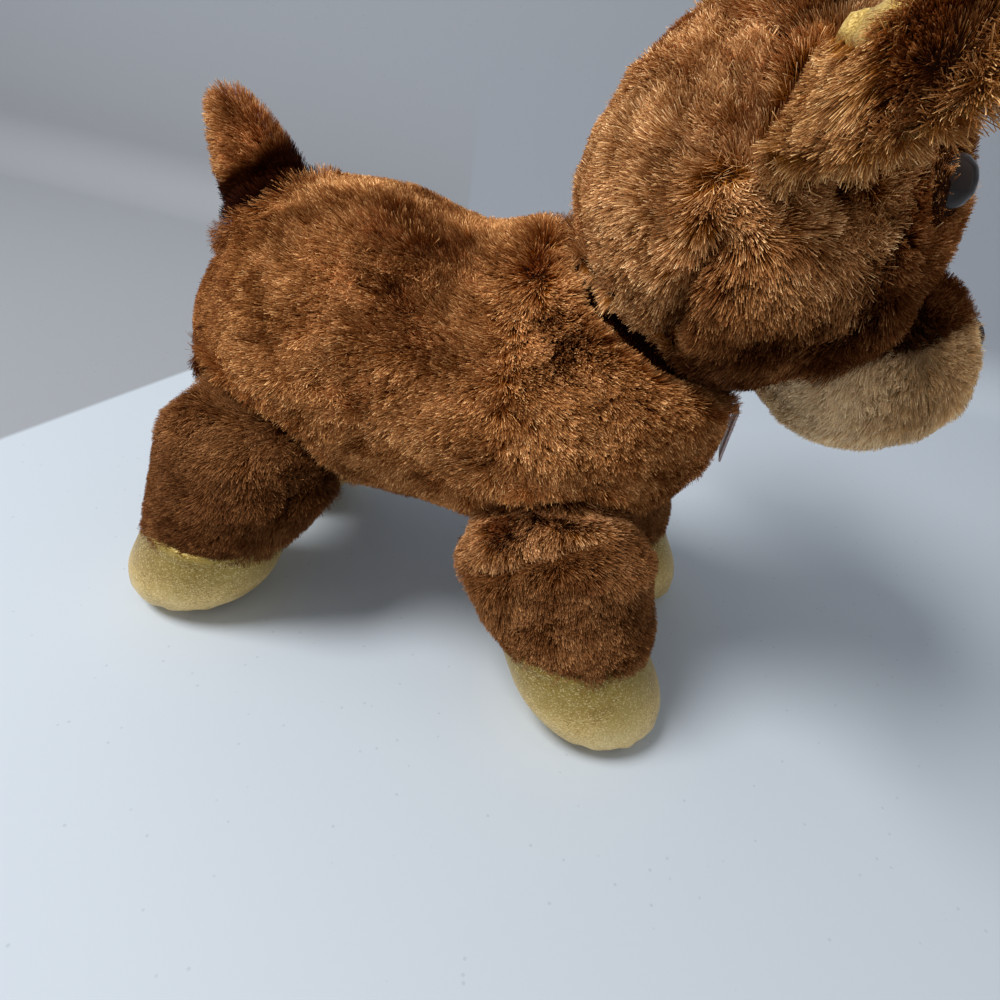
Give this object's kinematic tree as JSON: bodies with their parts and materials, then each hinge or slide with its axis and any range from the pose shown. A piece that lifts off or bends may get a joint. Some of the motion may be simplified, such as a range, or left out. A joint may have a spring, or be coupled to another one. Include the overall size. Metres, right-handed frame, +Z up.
{
  "type": "plush deer",
  "caption": "Standing stuffed deer of brown fur cloth with a round head, cream muzzle, gold cloth hooves, ears and antlers, and limbs that flex at their seams.",
  "frame": {"origin": "on the surface that the hooves stand on, under the middle of the deer's bounding box", "axes": "+X towards the nose, +Y towards the deer's left, +Z up"},
  "size_m": [0.335, 0.2308, 0.3506],
  "materials": {
    "body_fur": "dense short reddish brown plush pile with a soft sheen",
    "head_fur": "dense tan brown plush pile, a little longer and lighter than the body's",
    "cream_fur": "dense cream plush pile",
    "stuffing": "white polyester fibre filling",
    "gold_cloth": "shimmering pale gold metallic cloth",
    "dark_plastic": "glossy",
    "washer_plastic": "matte",
    "label_cloth": "smooth satin ribbon, blank"
  },
  "bodies": {
    "torso": {"torso_panel_right": "body_fur", "torso_panel_left": "body_fur", "torso_filling": "stuffing"},
    "neck": {"neck_filling": "stuffing"},
    "head": {"head_panel_right": "head_fur", "head_panel_left": "head_fur", "muzzle_panel": "cream_fur", "head_filling": "stuffing", "nose": "dark_plastic", "nose_washer": "washer_plastic", "eye_right": "dark_plastic", "eye_left": "dark_plastic", "eye_washer_right": "washer_plastic", "eye_washer_left": "washer_plastic"},
    "ear_right": {"ear_back_right": "head_fur", "ear_lining_right": "gold_cloth"},
    "antler_right": {"antler_right": "gold_cloth"},
    "ear_left": {"ear_back_left": "head_fur", "ear_lining_left": "gold_cloth"},
    "antler_left": {"antler_left": "gold_cloth"},
    "front_right_leg": {"front_right_leg_skin": "body_fur", "front_right_leg_filling": "stuffing", "front_right_hoof_band": "gold_cloth", "front_right_hoof_sole": "gold_cloth"},
    "front_left_leg": {"front_left_leg_skin": "body_fur", "front_left_leg_filling": "stuffing", "front_left_hoof_band": "gold_cloth", "front_left_hoof_sole": "gold_cloth"},
    "rear_right_leg": {"rear_right_leg_skin": "body_fur", "rear_right_leg_filling": "stuffing", "rear_right_hoof_band": "gold_cloth", "rear_right_hoof_sole": "gold_cloth"},
    "rear_left_leg": {"rear_left_leg_skin": "body_fur", "rear_left_leg_filling": "stuffing", "rear_left_hoof_band": "gold_cloth", "rear_left_hoof_sole": "gold_cloth"},
    "tail": {"tail_skin": "body_fur", "tail_filling": "stuffing"},
    "tag": {"label_tag": "label_cloth"}
  },
  "joints": [
    {"name": "head_turn", "type": "hinge", "parent": "torso", "child": "neck", "pos_m": [0.06898, -0.00651, 0.22], "axis": [0.4067, 0, 0.9135], "range_deg": [-20, 20], "stiffness_Nm_per_rad": 1.2},
    {"name": "head_nod", "type": "hinge", "parent": "neck", "child": "head", "pos_m": [0.06898, -0.00651, 0.22], "axis": [-0.2588, 0.9659, 0], "range_deg": [-12, 3], "stiffness_Nm_per_rad": 1.5},
    {"name": "front_right_leg_swing", "type": "hinge", "parent": "torso", "child": "front_right_leg", "pos_m": [0.03699, -0.05351, 0.07], "axis": [0, 1, 0], "range_deg": [-12, 12], "stiffness_Nm_per_rad": 3},
    {"name": "front_left_leg_swing", "type": "hinge", "parent": "torso", "child": "front_left_leg", "pos_m": [0.03699, 0.04049, 0.07], "axis": [0, 1, 0], "range_deg": [-12, 12], "stiffness_Nm_per_rad": 3},
    {"name": "rear_right_leg_swing", "type": "hinge", "parent": "torso", "child": "rear_right_leg", "pos_m": [-0.10601, -0.05351, 0.077], "axis": [0, 1, 0], "range_deg": [-12, 12], "stiffness_Nm_per_rad": 3},
    {"name": "rear_left_leg_swing", "type": "hinge", "parent": "torso", "child": "rear_left_leg", "pos_m": [-0.10601, 0.04049, 0.077], "axis": [0, 1, 0], "range_deg": [-12, 12], "stiffness_Nm_per_rad": 3},
    {"name": "tail_bend", "type": "hinge", "parent": "torso", "child": "tail", "pos_m": [-0.11501, -0.00651, 0.178], "axis": [0, 1, 0], "range_deg": [-20, 20], "stiffness_Nm_per_rad": 0.15},
    {"name": "ear_right_flap", "type": "hinge", "parent": "head", "child": "ear_right", "pos_m": [0.07432, -0.05899, 0.25621], "axis": [0.2064, 0.5698, 0.7954], "range_deg": [-25, 18], "stiffness_Nm_per_rad": 0.06},
    {"name": "ear_left_flap", "type": "hinge", "parent": "head", "child": "ear_left", "pos_m": [0.04377, 0.05166, 0.22862], "axis": [0.359, 0.0173, 0.9332], "range_deg": [-18, 25], "stiffness_Nm_per_rad": 0.06},
    {"name": "antler_right_flex", "type": "hinge", "parent": "head", "child": "antler_right", "pos_m": [0.05588, -0.01951, 0.28508], "axis": [-0.2588, 0.9372, -0.2337], "range_deg": [-8, 8], "stiffness_Nm_per_rad": 0.3},
    {"name": "antler_left_flex", "type": "hinge", "parent": "head", "child": "antler_left", "pos_m": [0.04345, 0.02548, 0.27386], "axis": [-0.2588, 0.9372, -0.2337], "range_deg": [-8, 8], "stiffness_Nm_per_rad": 0.3},
    {"name": "tag_flap", "type": "hinge", "parent": "torso", "child": "tag", "pos_m": [0.09074, -0.00651, 0.141], "axis": [0, 1, 0], "range_deg": [-60, 0], "stiffness_Nm_per_rad": 0.002}
  ]
}
